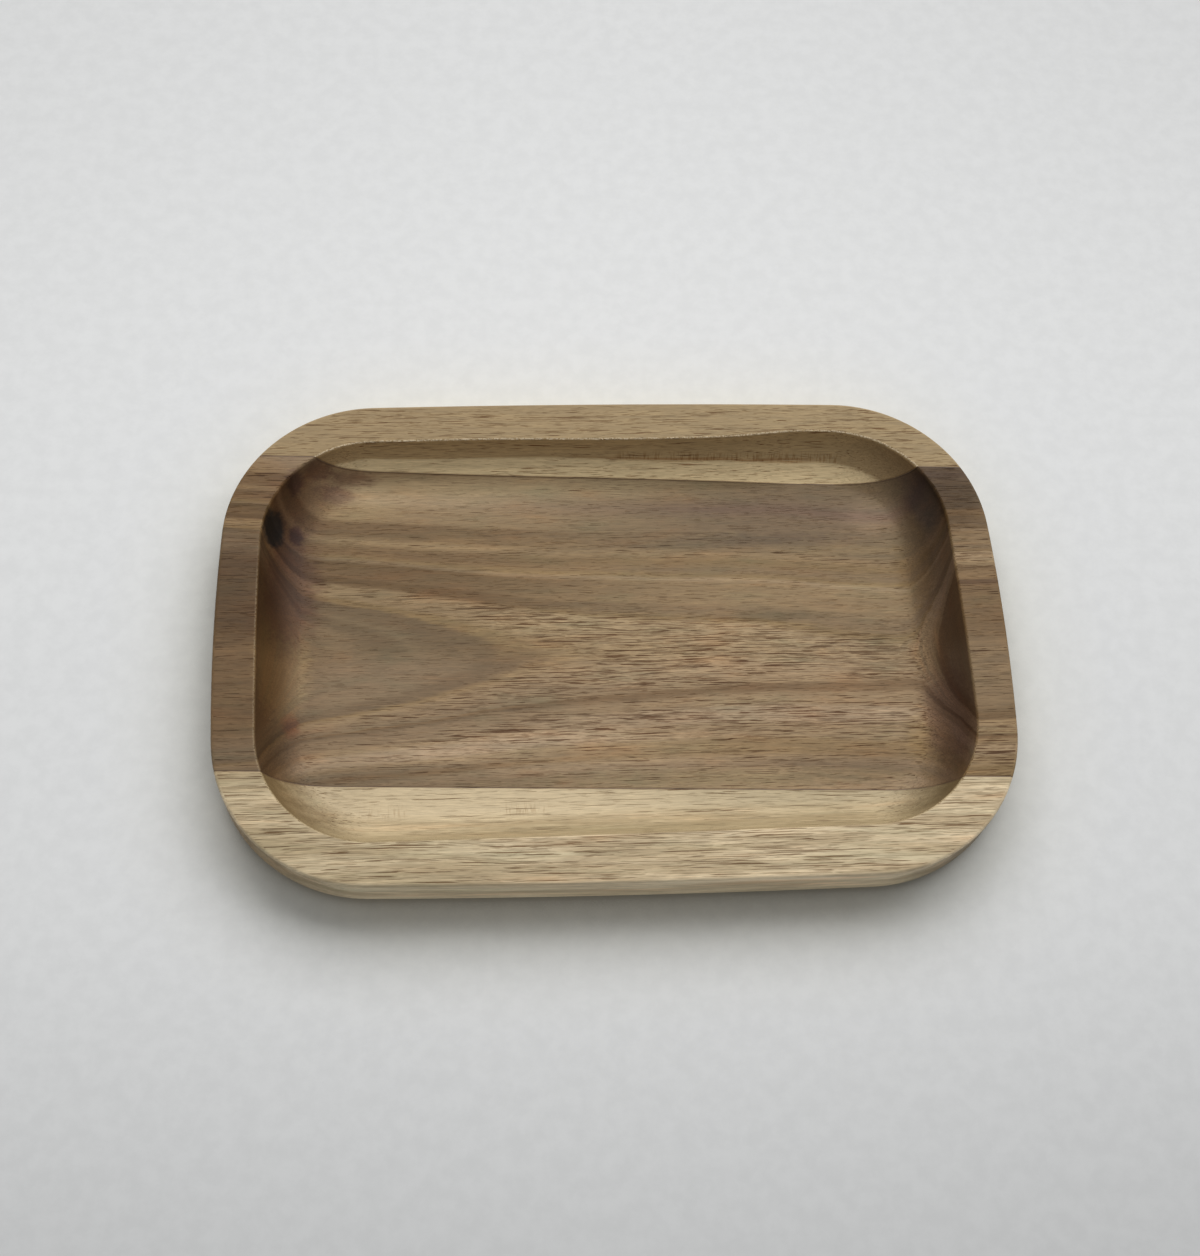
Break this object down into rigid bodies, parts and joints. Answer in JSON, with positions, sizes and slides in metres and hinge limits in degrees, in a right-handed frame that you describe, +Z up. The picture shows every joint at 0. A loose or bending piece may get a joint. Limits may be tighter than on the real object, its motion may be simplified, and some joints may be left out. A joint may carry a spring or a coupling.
{
  "type": "wooden serving tray",
  "caption": "Shallow rectangular wooden serving tray with rounded corners, gently bowed edges, a flat rim and a coved recess, made of edge-glued staves.",
  "frame": {"origin": "centre of the flat underside, where the tray stands on a table", "axes": "+X along the tray's length, +Y towards the rear edge with the narrow tan stave, +Z up out of the recess"},
  "size_m": [0.25, 0.165, 0.019],
  "materials": {
    "rear_wood": "tan sapwood, lightly oiled, satin",
    "centre_wood": "dark figured heartwood, lightly oiled, satin",
    "front_wood": "pale straw sapwood, lightly oiled, satin",
    "glue": "cured wood glue, dark amber"
  },
  "bodies": {
    "root": {"rear_stave": "rear_wood", "centre_stave": "centre_wood", "front_stave": "front_wood", "rear_glue_line": "glue", "front_glue_line": "glue"}
  },
  "joints": []
}
